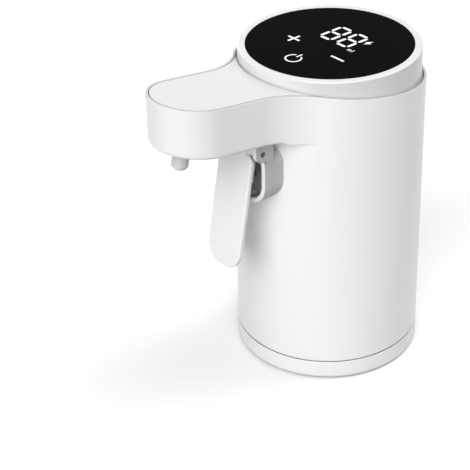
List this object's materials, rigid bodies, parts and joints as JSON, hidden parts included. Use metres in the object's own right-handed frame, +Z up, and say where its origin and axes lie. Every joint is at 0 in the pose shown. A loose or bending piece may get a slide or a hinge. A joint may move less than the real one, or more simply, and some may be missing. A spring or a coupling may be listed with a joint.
{
  "type": "electric wine dispenser",
  "caption": "Round battery pump that sits on a bottle's neck, with a spout arm, a lit touch display and a push trigger under the arm.",
  "frame": {"origin": "on the body's axis, at the mouth of the bottle socket, in the plane that the base stands on", "axes": "+Z up along the body's axis, -Y along the spout arm, +X to the right when the arm points away from the viewer's left"},
  "size_m": [0.06, 0.0977, 0.1081],
  "materials": {
    "white_plastic": "white gloss moulding",
    "silicone": "pale soft silicone",
    "steel": "plain steel",
    "clear_plastic": "milky clear plastic",
    "dark_plastic": "dark grey moulding",
    "circuit_board": "green board",
    "cell_case": "blue sleeve",
    "black_lens": "black gloss panel",
    "lit_symbols": "white, lit"
  },
  "bodies": {
    "housing": {"main_housing": "white_plastic", "top_cover": "white_plastic", "base_cover": "white_plastic", "bottle_socket": "silicone", "bottle_stopper": "silicone", "seat_gasket": "silicone", "inlet_fitting": "steel", "suction_hose": "clear_plastic", "inner_frame": "dark_plastic", "pump_cover": "dark_plastic", "pump_body": "dark_plastic", "idler_pin": "steel", "motor": "steel", "delivery_hose": "clear_plastic", "nozzle": "clear_plastic", "battery_cell": "cell_case", "control_board": "circuit_board", "usb_board": "circuit_board", "usb_socket": "steel", "display_board": "circuit_board", "digit_display": "dark_plastic", "touch_contacts": "steel", "display_lens": "black_lens", "display_symbols": "lit_symbols", "trigger_bracket": "white_plastic", "trigger_pin": "steel", "trigger_spring": "steel", "switch_body": "dark_plastic", "base_screws": "steel", "frame_screws": "steel", "pump_screws": "steel", "lid_screws": "steel", "board_screws": "steel", "display_screws": "steel", "bracket_screws": "steel", "switch_screws": "steel", "usb_screws": "steel"},
    "trigger": {"trigger": "white_plastic"},
    "plunger": {"switch_plunger": "dark_plastic"},
    "rotor": {"drive_gear": "steel", "motor_shaft": "steel"},
    "idler": {"idler_gear": "steel"}
  },
  "joints": [
    {"name": "trigger_swing", "type": "hinge", "parent": "housing", "child": "trigger", "pos_m": [0, -0.0363, 0.0839], "axis": [1, 0, 0], "range_deg": [0, 9], "stiffness_Nm_per_rad": 0.1, "springref_deg": -9.74, "deforming": ["trigger_spring"]},
    {"name": "plunger_slide", "type": "slide", "parent": "housing", "child": "plunger", "axis": [0, 1, 0], "range_m": [0, 0.00185]},
    {"name": "motor_spin", "type": "hinge", "parent": "housing", "child": "rotor", "pos_m": [0.0155, 0.004, 0.048], "axis": [0, 0, 1], "continuous": true},
    {"name": "idler_spin", "type": "hinge", "parent": "housing", "child": "idler", "pos_m": [0.0155, -0.004, 0.048], "axis": [0, 0, 1], "continuous": true}
  ],
  "couplings": [
    {"joint": "plunger_slide", "follows": "trigger_swing", "m_per_rad": 0.0115},
    {"joint": "idler_spin", "follows": "motor_spin", "ratio": -1}
  ]
}
